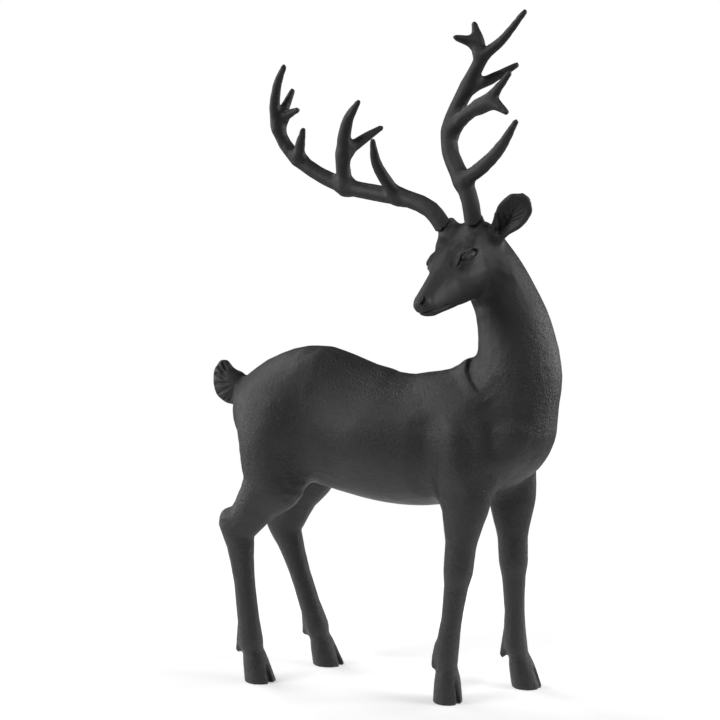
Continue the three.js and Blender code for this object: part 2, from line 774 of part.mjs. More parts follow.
// The origin is on the ground, under the middle of the whole statue
const middle = new THREE.Box3().setFromObject(stag).getCenter(new THREE.Vector3());
stag.position.set(-middle.x, -middle.y, -SOLE_LEVEL);
stag.updateMatrixWorld(true);

export default stag;
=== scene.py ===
"""Looks of a cast iron stag: smooth castings with carved relief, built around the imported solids."""

import math

import bpy
import numpy as np
from mathutils import Matrix, Vector


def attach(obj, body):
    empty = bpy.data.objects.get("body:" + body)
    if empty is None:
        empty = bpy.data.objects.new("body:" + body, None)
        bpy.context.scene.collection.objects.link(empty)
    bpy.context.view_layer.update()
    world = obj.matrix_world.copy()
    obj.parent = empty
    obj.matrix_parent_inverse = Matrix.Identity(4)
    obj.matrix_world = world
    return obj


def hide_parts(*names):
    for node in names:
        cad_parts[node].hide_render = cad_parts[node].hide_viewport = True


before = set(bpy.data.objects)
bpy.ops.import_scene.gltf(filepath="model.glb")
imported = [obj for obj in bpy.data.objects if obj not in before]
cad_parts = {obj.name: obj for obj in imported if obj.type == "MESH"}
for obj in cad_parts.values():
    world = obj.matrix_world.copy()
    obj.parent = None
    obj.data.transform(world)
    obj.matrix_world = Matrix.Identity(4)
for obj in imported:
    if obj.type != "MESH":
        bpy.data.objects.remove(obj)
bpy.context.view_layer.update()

bl_info = {
    "name": "Cast iron stag",
    "version": (1, 0, 0),
    "blender": (4, 5, 0),
    "location": "View3D > Sidebar > Stag",
    "description": "Builds the castings of a standing stag, their iron finish and a plain studio",
    "category": "Object",
}

MM = 0.001
ROOT = "root"

# Photograph: its size and the longest step along a stroke, in pixels, and the camera that took it
PHOTO_SIZE = 720
PHOTO_MIDDLE = PHOTO_SIZE / 2
STROKE_STEP = 2.5
CAMERA_AZIMUTH = math.radians(21)
CAMERA_ELEVATION = math.radians(8)
CAMERA_DISTANCE = 1.79
CAMERA_TARGET = Vector((-20.66, 18.37, 295)) * MM
CAMERA_LENS = 100
SENSOR_WIDTH = 36

# The trunk's middle plane, and the head's crown and how far it turns to the right, bows and leans
TRUNK_MIDDLE = 18.37 * MM
CROWN = Vector((78.84, -3.63, 419)) * MM
HEAD_TURN = math.radians(102)
HEAD_BOW = math.radians(36)
HEAD_LEAN = math.radians(13)

# Seam of the antlers in the head's own frame: its place, the lean of its upright to the side, how far around
# its middle the edges are kept, and the distance from the seam at which smoothing is back to its full share
SEAM_PLACE = Vector((-3, 15, 3)) * MM
SEAM_SPLAY = 0.2
SEAM_REACH = 14 * MM
SEAM_EASE = 3 * MM

# Skins: the distance at which points of a solid are merged, the rounds of smoothing, each of some steps in
# and as many out, and the height up to which a hoof is pressed flat
MERGE_DISTANCE = 0.001 * MM
BODY_ROUNDS = 14
ANTLER_ROUNDS = 20
ROUND_STEPS = 6
SMOOTHING = 1.0
SWELLING = -1.06
SOLE_SKIN = 0.5 * MM

# Relief: share of the depth on the side that the photograph doesn't show, share of it at the very end of a
# stroke that fades, how soon a stroke on one face of a thin form stops at its rim, and the shortest path
FAR_SHARE = 0.5
END_SHARE = 0.1
RIM_GAIN = 4
SHORTEST_PATH = 0.01 * MM

# Regions with a finer grid, in millimetres: those of the head are in its own frame
FACE_FROM = 12
FACE_REACH = 125
EAR_FROM = 25
EAR_INSIDE_FROM = 30
EAR_REACH = 78
EYES_ALONG = (19, 47)
EYES_FROM = 11
EYES_UP = (-21, 3)
MUZZLE_ALONG = (66, 110)
MUZZLE_HALF_WIDTH = 20
MUZZLE_FLOOR = -40
TAIL_FROM = -128
TAIL_FLOOR = 240

# Folds, creases and hollows of the trunk, as pixels of the photograph
WITHERS_FOLD = ((474, 354), (470, 361), (469, 370), (472, 379), (478, 389), (486, 397), (495, 404))
WITHERS_EDGE = ((468, 359), (464, 368), (467, 380), (473, 391), (481, 399))
NECK_HOLLOW = ((495, 404), (504, 418), (500, 434))
SHOULDER_SWELL = ((456, 438), (460, 464))
SHOULDER_HOLLOW = ((482, 430), (484, 458), (488, 476))
BREAST_SWELL = ((512, 440), (508, 462))
ELBOW_CREASE = ((437, 452), (434, 465), (434, 480), (437, 492), (440, 503))
ELBOW_HOLLOW = ((428, 432), (427, 452), (426, 470), (428, 484))
FLANK_HOLLOW = ((345, 378), (322, 400), (305, 425), (299, 450), (304, 468))
BACK_RISE = ((396, 373), (407, 375), (418, 375))
RIB_SWELL = ((336, 425), (360, 430))
HAUNCH_SWELL = ((258, 395), (262, 425))

# The head: jaw, eye, brow, cheek, nostril and mouth
JAW_HOLLOW = ((476, 305), (487, 300), (498, 293), (505, 284))
EYE_MIDDLE = (468.6, 255.2)
EYE_HALF_LENGTH = 9.2
EYE_HALF_HEIGHT = 4.9
EYE_NARROWING = 0.35
EYE_TILT = math.radians(29)
EYE_POINTS = 28
TEAR_DUCT = ((460.5, 261), (459.3, 263.5), (457.2, 268))
EYE_CORNER = ((477, 250.6), (483, 248.4))
BROW = ((444, 268), (447, 256), (451, 246))
BROW_SLOPE = ((459, 233), (470, 234), (481, 229), (480, 242), (467, 243))
BROW_FILL = ((460, 236), (470, 238), (481, 236))
BROW_RIDGE = ((458, 247), (464, 241), (472, 239))
BROW_HOLLOW = ((454, 264), (457, 254), (462, 245))
CHEEK_HOLLOW = ((460, 271), (472, 270), (483, 264))
NOSTRIL = ((424.6, 298), (424.2, 301), (422, 304))
NOSTRIL_RIM = ((426.6, 296.5), (427.6, 300), (426.4, 304), (422.6, 307))
NOSTRIL_GROOVE = ((431, 297), (431, 303), (427, 308))
MOUTH = ((424, 313), (431, 311), (440, 308.3), (448, 305.2))
MOUTH_CORNER = ((447, 305.6), (449, 305))
LOWER_LIP = ((430, 313.8), (439, 311.2), (446, 308.4))

# The left ear: its deep root, middle vein, ribs from the vein to the rim, and the fold along its near edge
EAR_ROOT = ((500.5, 232), (504, 226), (508, 219))
EAR_VEIN = ((501, 231), (507, 222), (513, 212), (518, 203))
EAR_RIBS = (
    ((506, 224), (514, 221.5), (523, 217)),
    ((508, 221), (516, 217), (526, 212)),
    ((510, 217.5), (517, 212.5), (527, 206)),
    ((512, 214), (518, 208), (526, 201)),
    ((514, 210), (518, 204), (523, 197)),
    ((513, 212), (513, 204), (517, 196)),
    ((510, 217), (508, 208), (511, 199)),
    ((507, 222), (504, 214), (505, 205)),
)
EAR_FOLD = ((495, 212), (498, 221), (499, 230), (497, 239))

# The tail: the dip of its upper edge, and its flutes, each from the fan's middle to its rim
TAIL_DIP = ((235, 368), (239, 370), (243, 372))
TAIL_FLUTES = (
    ((227, 371), (223, 363)),
    ((226, 375), (218, 367)),
    ((227, 379), (215, 374)),
    ((231, 383), (215, 384)),
    ((234, 385), (218, 393)),
    ((235, 387), (224, 399)),
    ((233, 391), (229, 400)),
)

# Hooves: the slot between the toes of each
HOOF_CLEFTS = (
    ((455, 680), (457, 691), (459, 704)),
    ((533, 665), (537, 675), (541, 686)),
    ((266, 663), (268.5, 673), (271, 684)),
    ((334, 643), (337.5, 652), (341, 663)),
)

# Iron: depth of the grain and roughness of the castings, what the pores add to the grain, the darkest and
# lightest share of the colour, and what the cloudy patches and the places of finer grain add to the roughness
BODY_GRAIN = 0.8 * MM
BODY_ROUGHNESS = 0.43
ANTLER_GRAIN = 0.15 * MM
ANTLER_ROUGHNESS = 0.52
PORE_SHARE = 0.35
DARK_SHARE = 0.8
LIGHT_SHARE = 1.25
CLOUD_ROUGHNESS = 0.14
FINE_ROUGHNESS = 0.12

# Middles of the places with a finer grain: the face and the left ear in the head's own frame, and the tail
FACE_MIDDLE = Vector((50, 0, -18)) * MM
EAR_MIDDLE = Vector((-14, 50, -4)) * MM
TAIL_MIDDLE = Vector((-152 * MM, TRUNK_MIDDLE, 273 * MM))

# Colour sockets of a Mix node
MIX_FIRST = 6
MIX_SECOND = 7
MIX_RESULT = 2

# Studio: a floor that fades out, a faint glow all around, and soft lights, each with its metres to the right
# of, above and in front of the statue as the camera sees it, its width and its watts
WHITE = (1, 1, 1, 1)
FLOOR_RADIUS = 0.65
FLOOR_ROUGHNESS = 0.9
FLOOR_GLOW = 0.35
WORLD_GLOW = 0.08
LIGHTS = (
    ("left_softbox", (-1.5, 0.5, 0.6), 0.8, 14),
    ("right_softbox", (1.5, 0.6, 0.45), 0.8, 13),
    ("left_rim", (-1.4, 0.2, -0.6), 0.7, 8),
    ("right_rim", (1.4, 0.2, -0.6), 0.7, 7),
    ("back_rim", (-1.0, 1.4, -0.8), 0.7, 10),
)
FACE_LIGHT = ("face_light", (-0.1, 1.2, 1.0), 0.3, 0.08)
FACE_LIGHT_AIM = Vector((40, 0, -15)) * MM
FACE_LIGHT_SPREAD = math.radians(9)


class StagSizes(bpy.types.PropertyGroup):
    """Sizes of the castings that a user would change"""

    body_grid: bpy.props.FloatProperty(
        name="Body grid",
        description="Spacing of the body's skin before it is thinned",
        default=1.25 * MM,
        min=0.6 * MM,
        unit="LENGTH",
    )
    antler_grid: bpy.props.FloatProperty(
        name="Antler grid",
        description="Spacing of an antler's skin",
        default=0.9 * MM,
        min=0.4 * MM,
        unit="LENGTH",
    )
    body_triangles: bpy.props.IntProperty(
        name="Body triangles",
        description="Triangles that the body keeps",
        default=190000,
        min=10000,
    )
    relief: bpy.props.FloatProperty(
        name="Relief",
        description="Depth of all carved lines and hollows, as a share of the usual depth",
        default=1.0,
        min=0.0,
        subtype="FACTOR",
    )


class StagColours(bpy.types.PropertyGroup):
    """Colours of the iron and of the studio"""

    iron: bpy.props.FloatVectorProperty(
        name="Iron",
        description="Charcoal black of the cast iron",
        default=(0.02, 0.02, 0.021),
        size=3,
        min=0.0,
        max=1.0,
        subtype="COLOR",
    )
    floor: bpy.props.FloatVectorProperty(
        name="Floor",
        description="Pale studio floor",
        default=(0.95, 0.95, 0.95),
        size=3,
        min=0.0,
        max=1.0,
        subtype="COLOR",
    )


# Places

def camera_axes():
    """Unit vectors of the photograph's camera: to its right, up, and back towards the viewer."""
    level = math.cos(CAMERA_ELEVATION)
    back = Vector((
        math.sin(CAMERA_AZIMUTH) * level,
        -math.cos(CAMERA_AZIMUTH) * level,
        math.sin(CAMERA_ELEVATION),
    ))
    right = Vector((math.cos(CAMERA_AZIMUTH), math.sin(CAMERA_AZIMUTH), 0))
    return right, back.cross(right), back


def camera_place():
    """Where the photograph's camera stands."""
    return CAMERA_TARGET + camera_axes()[2] * CAMERA_DISTANCE


def sight(spot):
    """Direction in which the camera sees a pixel of the photograph."""
    right, up, back = camera_axes()
    focal = CAMERA_LENS / SENSOR_WIDTH * PHOTO_SIZE
    x, y = spot
    ray = right * (x - PHOTO_MIDDLE) - up * (y - PHOTO_MIDDLE) - back * focal
    return ray.normalized()


def stepped(spots):
    """A pixel path with more stops, at most STROKE_STEP apart."""
    path = [spots[0]]
    for start, end in zip(spots, spots[1:]):
        count = math.ceil(math.dist(start, end) / STROKE_STEP)
        for i in range(1, count + 1):
            path.append(tuple(a + (b - a) * i / count for a, b in zip(start, end)))
    return path


def seen(piece, spots):
    """Points of a piece's surface that the camera sees along a path of the photograph's pixels."""
    hits = [piece.ray_cast(camera_place(), sight(spot)) for spot in stepped(spots)]
    points = [place.copy() for found, place, _, _ in hits if found]
    if not points:
        raise RuntimeError(f"no pixel of {spots} meets {piece.name}")
    return points


def on_surface(piece, points):
    """The places on a piece's surface that are nearest to some points."""
    return [piece.closest_point_on_mesh(point)[1].copy() for point in points]


def on_middle_plane(spot):
    """Point of the trunk's middle plane that the camera sees at a pixel."""
    start = camera_place()
    ray = sight(spot)
    return start + ray * (TRUNK_MIDDLE - start.y) / ray.y


def almond(scale):
    """Pixels around the near eye's opening, or around a larger or smaller copy of it."""
    path = []
    for i in range(EYE_POINTS + 1):
        turn = 2 * math.pi * i / EYE_POINTS
        narrowing = 1 - EYE_NARROWING * math.cos(turn) ** 2
        along = scale * EYE_HALF_LENGTH * math.cos(turn)
        across = scale * EYE_HALF_HEIGHT * math.sin(turn) * narrowing
        x = along * math.cos(EYE_TILT) - across * math.sin(EYE_TILT)
        y = -along * math.sin(EYE_TILT) - across * math.cos(EYE_TILT)
        path.append((EYE_MIDDLE[0] + x, EYE_MIDDLE[1] + y))
    return path


def eye_length(scale):
    """Pixels at both ends of the near eye, there and back."""
    return almond(scale)[::EYE_POINTS // 2]


def upper_lid():
    """Pixels along the upper edge of the near eye."""
    return almond(1.0)[:EYE_POINTS // 2 + 1]


def head_matrix():
    """Frame of the head: x to the nose, y to the head's left, z square up from the face."""
    turn = Matrix.Rotation(-HEAD_TURN, 4, "Z")
    bow = Matrix.Rotation(HEAD_BOW, 4, "Y")
    lean = Matrix.Rotation(HEAD_LEAN, 4, "X")
    return Matrix.Translation(CROWN) @ turn @ bow @ lean


def across_head(piece, points):
    """The same points on the other side of the head, on the surface."""
    to_world = head_matrix()
    flip = to_world @ Matrix.Diagonal((1, -1, 1, 1)) @ to_world.inverted()
    return on_surface(piece, [flip @ point for point in points])


def across_trunk(piece, points):
    """The same points on the other side of the trunk, on the surface."""
    return on_surface(piece, [Vector((p.x, 2 * TRUNK_MIDDLE - p.y, p.z)) for p in points])


def seam_frame(side):
    """Middle and upright of the seam of the left (1) or right (-1) antler."""
    middle = Vector((SEAM_PLACE.x, side * SEAM_PLACE.y, SEAM_PLACE.z))
    upright = Vector((0, side * SEAM_SPLAY, 1)).normalized()
    return head_matrix() @ middle, head_matrix().to_3x3() @ upright


def seam_distance(places):
    """Distance of each place to the plane of the seam that is next to it."""
    nearest = np.full(len(places), SEAM_REACH)
    for side in (1, -1):
        middle, upright = seam_frame(side)
        offsets = places - np.array(middle)
        beside = np.linalg.norm(offsets, axis=1) < SEAM_REACH
        nearest[beside] = np.abs(offsets[beside] @ np.array(upright))
    return nearest


def head_places(places):
    """Places in the head's own frame, in millimetres."""
    return (places - np.array(CROWN)) @ np.array(head_matrix().to_3x3()) / MM


def between(values, limits):
    """Tells which values lie between two limits."""
    low, high = limits
    return (values > low) & (values < high)


def fine_regions(middles):
    """Chooses the face, the left ear and the tail."""
    local = head_places(middles)
    away = np.linalg.norm(local, axis=1)
    along, aside, _ = local.T
    face = (along > FACE_FROM) & (away < FACE_REACH)
    ear = (aside > EAR_FROM) & (away < EAR_REACH)
    tail = (middles[:, 0] < TAIL_FROM * MM) & (middles[:, 2] > TAIL_FLOOR * MM)
    return face | ear | tail


def finest_regions(middles):
    """Chooses the eyes, the nostrils, the mouth and the left ear."""
    local = head_places(middles)
    away = np.linalg.norm(local, axis=1)
    along, aside, up = local.T
    eyes = between(along, EYES_ALONG) & (np.abs(aside) > EYES_FROM) & between(up, EYES_UP)
    muzzle = between(along, MUZZLE_ALONG) & (np.abs(aside) < MUZZLE_HALF_WIDTH) & (up > MUZZLE_FLOOR)
    ear = (aside > EAR_INSIDE_FROM) & (away < EAR_REACH)
    return eyes | muzzle | ear


def along_path(places, points):
    """Distance of each place to a path of straight stretches, and how far along the path it is, 0 to 1."""
    stops = [np.array(point) for point in points]
    lengths = [np.linalg.norm(end - start) for start, end in zip(stops, stops[1:])]
    total = max(sum(lengths), SHORTEST_PATH)
    nearest = np.linalg.norm(places - stops[0], axis=1)
    share = np.zeros(len(places))
    done = 0
    for start, end, length in zip(stops, stops[1:], lengths):
        run = (end - start) / length
        step = np.clip((places - start) @ run, 0, length)
        away = np.linalg.norm(places - start - step[:, None] * run, axis=1)
        closer = away < nearest
        nearest[closer] = away[closer]
        share[closer] = (done + step[closer]) / total
        done += length
    return nearest, share


# Modelling

def pick(piece):
    """Makes a piece the only selected object."""
    bpy.ops.object.select_all(action="DESELECT")
    piece.select_set(True)
    bpy.context.view_layer.objects.active = piece


def edit_chosen(piece, kind, elements, chosen):
    """Enters edit mode with only the chosen faces or vertices selected."""
    pick(piece)
    bpy.ops.object.mode_set(mode="EDIT")
    bpy.ops.mesh.select_mode(type=kind)
    bpy.ops.mesh.select_all(action="DESELECT")
    bpy.ops.object.mode_set(mode="OBJECT")
    getattr(piece.data, elements).foreach_set("select", chosen)
    bpy.ops.object.mode_set(mode="EDIT")


def finish_with(piece, kind, **settings):
    """Adds a modifier and applies it."""
    pick(piece)
    modifier = piece.modifiers.new(kind, kind)
    for name, value in settings.items():
        setattr(modifier, name, value)
    bpy.ops.object.modifier_apply(modifier=modifier.name)


def copy_of(node, name):
    """A merged copy of a solid."""
    piece = bpy.data.objects.new(name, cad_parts[node].data.copy())
    bpy.context.scene.collection.objects.link(piece)
    piece.data.materials.clear()
    pick(piece)
    bpy.ops.object.mode_set(mode="EDIT")
    bpy.ops.mesh.select_all(action="SELECT")
    bpy.ops.mesh.remove_doubles(threshold=MERGE_DISTANCE)
    bpy.ops.object.mode_set(mode="OBJECT")
    return piece


def vertex_places(piece):
    """Places of a piece's vertices, one row each."""
    places = np.empty((len(piece.data.vertices), 3), np.float32)
    piece.data.vertices.foreach_get("co", places.ravel())
    return places


def weigh(piece, shares):
    """Gives a piece one vertex group with these shares."""
    group = piece.vertex_groups.new(name="shares")
    for index in np.nonzero(shares > 0)[0]:
        group.add((int(index),), shares[index], "REPLACE")
    return group.name


def reskin(piece, grid, rounds):
    """An even skin, smoothed without shrinking and with the edges of the antlers' seams kept."""
    finish_with(piece, "REMESH", mode="VOXEL", voxel_size=grid)
    group = weigh(piece, np.clip(seam_distance(vertex_places(piece)) / SEAM_EASE, 0, 1))
    for _ in range(rounds):
        for factor in (SMOOTHING, SWELLING):
            finish_with(piece, "SMOOTH", factor=factor, iterations=ROUND_STEPS, vertex_group=group)
    piece.vertex_groups.clear()


def soften(piece, points, reach, steps):
    """Smooths the surface along a path, fully up to half its reach in millimetres and then less."""
    shares = np.clip(2 - 2 * along_path(vertex_places(piece), points)[0] / (reach * MM), 0, 1)
    finish_with(piece, "SMOOTH", factor=SMOOTHING, iterations=steps, vertex_group=weigh(piece, shares))
    piece.vertex_groups.clear()


def refine(piece, choose):
    """Halves the grid of the faces whose middles are chosen."""
    middles = np.empty((len(piece.data.polygons), 3), np.float32)
    piece.data.polygons.foreach_get("center", middles.ravel())
    edit_chosen(piece, "FACE", "polygons", choose(middles))
    bpy.ops.mesh.subdivide(number_cuts=1)
    bpy.ops.object.mode_set(mode="OBJECT")


def flatten_soles(piece):
    """Presses the last fraction of a millimetre of each hoof flat on the ground."""
    edit_chosen(piece, "VERT", "vertices", vertex_places(piece)[:, 2] < SOLE_SKIN)
    bpy.ops.transform.resize(value=(1, 1, 0), center_override=(0, 0, 0))
    bpy.ops.object.mode_set(mode="OBJECT")


class Relief:
    """Marks on a piece's surface, summed and then pressed into it all at once."""

    def __init__(self, piece):
        self.piece = piece
        self.places = vertex_places(piece)
        self.normals = np.empty_like(self.places)
        self.lifts = np.zeros(len(self.places))
        piece.data.vertices.foreach_get("normal", self.normals.ravel())

    def mark(self, points, reach, lift, fade=(0, 0), facing=None):
        """Raises the surface along a path, or sinks it where the lift is negative.

        Reach and lift are in millimetres. The mark fades out at its reach, over a share of the path at each
        end, and where the surface turns away from the direction that it is facing.
        """
        low = np.min(points, axis=0) - reach * MM
        high = np.max(points, axis=0) + reach * MM
        near = np.nonzero(np.all((self.places > low) & (self.places < high), axis=1))[0]
        distance, share = along_path(self.places[near], points)
        weight = np.clip(1 - (distance / (reach * MM)) ** 2, 0, 1) ** 2
        for end, length in zip((share, 1 - share), fade):
            if length > 0:
                weight *= np.clip(END_SHARE + end / length, 0, 1)
        if facing is not None:
            weight *= np.clip(RIM_GAIN * self.normals[near] @ np.array(facing), 0, 1)
        self.lifts[near] += weight * lift * MM

    def mark_seen(self, spots, reach, lift, fade=(0, 0), facing=None):
        """Marks a path that the camera sees."""
        self.mark(seen(self.piece, spots), reach, lift, fade, facing)

    def mark_pair(self, across, spots, reach, lift, fade=(0, 0)):
        """Marks a path that the camera sees, and its mirror image on the hidden side, which is shallower."""
        points = seen(self.piece, spots)
        self.mark(points, reach, lift, fade)
        self.mark(across(self.piece, points), reach, FAR_SHARE * lift, fade)

    def press(self, strength):
        """Moves the surface by its marks: one pass for what is raised, one for what is sunk."""
        for sign in (1, -1):
            heights = np.clip(sign * self.lifts, 0, None)
            highest = heights.max()
            finish_with(
                self.piece, "DISPLACE", vertex_group=weigh(self.piece, heights / highest),
                mid_level=0.0, strength=sign * highest * strength,
            )
            self.piece.vertex_groups.clear()


def hand_over(piece, node, finish):
    """Gives a finished piece its material and ties it to the frame."""
    pick(piece)
    bpy.ops.object.shade_smooth()
    piece.data.materials.append(finish)
    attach(piece, ROOT)
    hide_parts(node)


# Finishes

class Value:
    """An output socket. Arithmetic on it adds Math nodes to its tree."""

    def __init__(self, owner, socket):
        self.owner = owner
        self.socket = socket

    def math(self, operation, first, second):
        return self.owner.make("ShaderNodeMath", {"operation": operation}, {0: first, 1: second})

    def __add__(self, other):
        return self.math("ADD", self, other)

    def __radd__(self, other):
        return self.math("ADD", other, self)

    def __sub__(self, other):
        return self.math("SUBTRACT", self, other)

    def __rsub__(self, other):
        return self.math("SUBTRACT", other, self)

    def __mul__(self, other):
        return self.math("MULTIPLY", self, other)

    def __rmul__(self, other):
        return self.math("MULTIPLY", other, self)


class Nodes:
    """The nodes of a material or a world, built one by one."""

    def __init__(self, owner):
        owner.use_nodes = True
        self.tree = owner.node_tree

    def make(self, kind, settings, sockets, output=0):
        """Adds a node: its settings first, then the values or links of its sockets."""
        node = self.tree.nodes.new(kind)
        for name, value in settings.items():
            setattr(node, name, value)
        return self.connect(node, sockets, output)

    def connect(self, node, sockets, output=0):
        """Sets or links the sockets of a node and gives back one of its outputs."""
        for name, value in sockets.items():
            if isinstance(value, Value):
                self.tree.links.new(value.socket, node.inputs[name])
            else:
                node.inputs[name].default_value = value
        return Value(self, node.outputs[output])


class Finish(Nodes):
    """A material with one Principled shader."""

    def __init__(self, name):
        self.material = bpy.data.materials.new(name)
        super().__init__(self.material)

    def shade(self, **sockets):
        """Sets or links the shader's sockets, whose names have spaces for the underscores."""
        shader = self.tree.nodes["Principled BSDF"]
        self.connect(shader, {name.replace("_", " "): value for name, value in sockets.items()})


def fine_places():
    """Places with a finer grain: middle, inner and outer radius, and the share of the grain that is left."""
    to_world = head_matrix()
    return (
        (to_world @ FACE_MIDDLE, 50 * MM, 110 * MM, 0.2),
        (to_world @ EAR_MIDDLE, 26 * MM, 50 * MM, 0.25),
        (TAIL_MIDDLE, 20 * MM, 32 * MM, 0.2),
    )


def iron_finish(name, colour, grain, roughness):
    """Matte black iron: a fine leathery grain from the sand mould over broad cloudy patches."""
    finish = Finish(name)
    place = finish.make("ShaderNodeTexCoord", {}, {}, "Object")
    cloud = finish.make("ShaderNodeTexNoise", {}, {"Vector": place, "Scale": 26, "Detail": 3})
    speck = finish.make("ShaderNodeTexNoise", {}, {
        "Vector": place, "Scale": 380, "Detail": 2, "Roughness": 0.5, "Distortion": 1.2,
    })
    pores = finish.make("ShaderNodeTexNoise", {}, {"Vector": place, "Scale": 900, "Detail": 1})
    coarse = 1.0
    for middle, inner, outer, least in fine_places():
        away = finish.make(
            "ShaderNodeVectorMath", {"operation": "DISTANCE"}, {0: place, 1: tuple(middle)}, "Value",
        )
        coarse = coarse * finish.make("ShaderNodeMapRange", {"interpolation_type": "SMOOTHSTEP"}, {
            "Value": away, "From Min": inner, "From Max": outer, "To Min": least, "To Max": 1.0,
        })
    bump = finish.make("ShaderNodeBump", {}, {
        "Strength": 1.0, "Distance": grain, "Height": (speck + PORE_SHARE * pores) * coarse,
    })
    tint = finish.make("ShaderNodeMix", {"data_type": "RGBA"}, {
        "Factor": cloud,
        MIX_FIRST: (*[DARK_SHARE * part for part in colour], 1),
        MIX_SECOND: (*[LIGHT_SHARE * part for part in colour], 1),
    }, MIX_RESULT)
    finish.shade(
        Base_Color=tint,
        Roughness=roughness + CLOUD_ROUGHNESS * cloud + FINE_ROUGHNESS * (1 - coarse),
        Normal=bump,
        Metallic=0.0,
        Specular_IOR_Level=0.5,
    )
    return finish.material


# Carving of the body, with reaches and lifts in millimetres

def shape_trunk(relief):
    """Hollows and swells of the trunk and neck, seen on the right side and repeated on the left."""
    for spots, reach, lift in (
        (FLANK_HOLLOW, 42, -5.5),
        (NECK_HOLLOW, 28, -4.0),
        (SHOULDER_HOLLOW, 26, -4.0),
        (SHOULDER_SWELL, 32, 4.6),
        (BREAST_SWELL, 22, 3.0),
        (RIB_SWELL, 45, 3.6),
        (HAUNCH_SWELL, 40, 3.2),
        (ELBOW_HOLLOW, 23, -3.4),
        (WITHERS_EDGE, 10, 1.6),
    ):
        relief.mark_pair(across_trunk, spots, reach, lift)
    for spots, reach, lift in ((BACK_RISE, 24, 2.6), (TAIL_DIP, 7, -3.2)):
        relief.mark(on_surface(relief.piece, [on_middle_plane(spot) for spot in spots]), reach, lift)


def shape_head(relief):
    """Broad forms of the head, seen on its left side and repeated on its right."""
    for spots, reach, lift in (
        (JAW_HOLLOW, 12, -1.2),
        (BROW, 7, 0.7),
        (BROW_FILL, 14, 1.4),
        (BROW_RIDGE, 8, 1.8),
        (BROW_HOLLOW, 5, -1.0),
        (CHEEK_HOLLOW, 7, -0.4),
        (eye_length(0.3), 7, 1.6),
        (NOSTRIL_GROOVE, 3.5, -0.4),
    ):
        relief.mark_pair(across_head, spots, reach, lift)


def line_trunk(relief):
    """The fold at the withers, which fades out downwards, and the crease at the elbow, on both sides."""
    for spots, lift, far_lift, fade in (
        (WITHERS_FOLD, -2.2, -1.2, (0.05, 0.8)),
        (ELBOW_CREASE, -1.6, -1.6, (0.6, 0.2)),
    ):
        points = seen(relief.piece, spots)
        relief.mark(points, reach=4, lift=lift, fade=fade)
        relief.mark(across_trunk(relief.piece, points), reach=4, lift=far_lift, fade=fade)


def line_head(relief):
    """Lids, nostrils and lips, seen on the left side and repeated on the right; some fade at their end."""
    for spots, reach, lift, fade in (
        (almond(1.3), 2.6, 0.45, 0),
        (eye_length(0.35), 4.2, 1.3, 0),
        (almond(1.0), 1.3, -1.6, 0),
        (upper_lid(), 1.7, -0.9, 0),
        (TEAR_DUCT, 1.6, -2.0, 0.7),
        (EYE_CORNER, 1.6, -0.6, 0.9),
        (NOSTRIL_RIM, 2.4, 0.25, 0),
        (NOSTRIL, 2.2, -2.8, 0),
        (LOWER_LIP, 2.4, 0.6, 0),
        (MOUTH, 1.4, -2.0, 0),
        (MOUTH_CORNER, 2.2, -1.2, 0),
    ):
        relief.mark_pair(across_head, spots, reach, lift, (0, fade))


def line_ear(relief):
    """Fold, root, vein and ribs inside the pricked ear."""
    facing = camera_axes()[2]
    relief.mark_seen(EAR_FOLD, reach=2.6, lift=1.2, facing=facing)
    relief.mark_seen(EAR_ROOT, reach=6, lift=-1.8, facing=facing)
    relief.mark_seen(EAR_VEIN, reach=1.8, lift=-0.8, fade=(0, 0.5), facing=facing)
    for rib in EAR_RIBS:
        relief.mark_seen(rib, reach=1.3, lift=-0.5, fade=(0, 0.6), facing=facing)


def line_tail(relief):
    """Flutes that fan out over both faces of the tail and leave its rim smooth."""
    aside = Vector((0, 1, 0))
    for flute in TAIL_FLUTES:
        near = seen(relief.piece, flute)
        far = across_trunk(relief.piece, near)
        for points, facing in ((near, -aside), (far, aside)):
            relief.mark(points, reach=2.4, lift=-1.8, fade=(0.5, 0), facing=facing)


def line_hooves(relief):
    """Slots between the toes."""
    for cleft in HOOF_CLEFTS:
        relief.mark_seen(cleft, reach=2.6, lift=-3.2, fade=(0.4, 0))


# Pieces and stage

class STAG_OT_body(bpy.types.Operator):
    """Makes the body: a smooth casting with its folds, face, ear, tail and hooves carved"""

    bl_idname = "stag.body"
    bl_label = "Body"

    def execute(self, context):
        sizes = context.scene.stag_sizes
        body = copy_of("body", "stag_body")
        reskin(body, sizes.body_grid, BODY_ROUNDS)
        soften(body, seen(body, BROW_SLOPE), reach=13, steps=60)
        refine(body, fine_regions)
        refine(body, finest_regions)
        for carvings in (
            (shape_trunk, shape_head),
            (line_trunk, line_head, line_ear, line_tail, line_hooves),
        ):
            relief = Relief(body)
            for carve in carvings:
                carve(relief)
            relief.press(sizes.relief)
        triangles = 2 * len(body.data.polygons)
        finish_with(body, "DECIMATE", ratio=min(1, sizes.body_triangles / triangles))
        flatten_soles(body)
        iron = iron_finish("body_iron", context.scene.stag_colours.iron, BODY_GRAIN, BODY_ROUGHNESS)
        hand_over(body, "body", iron)
        return {"FINISHED"}


class STAG_OT_antlers(bpy.types.Operator):
    """Makes both antlers"""

    bl_idname = "stag.antlers"
    bl_label = "Antlers"

    def execute(self, context):
        sizes = context.scene.stag_sizes
        iron = iron_finish("antler_iron", context.scene.stag_colours.iron, ANTLER_GRAIN, ANTLER_ROUGHNESS)
        for node in ("antler_left", "antler_right"):
            antler = copy_of(node, "stag_" + node)
            reskin(antler, sizes.antler_grid, ANTLER_ROUNDS)
            hand_over(antler, node, iron)
        return {"FINISHED"}


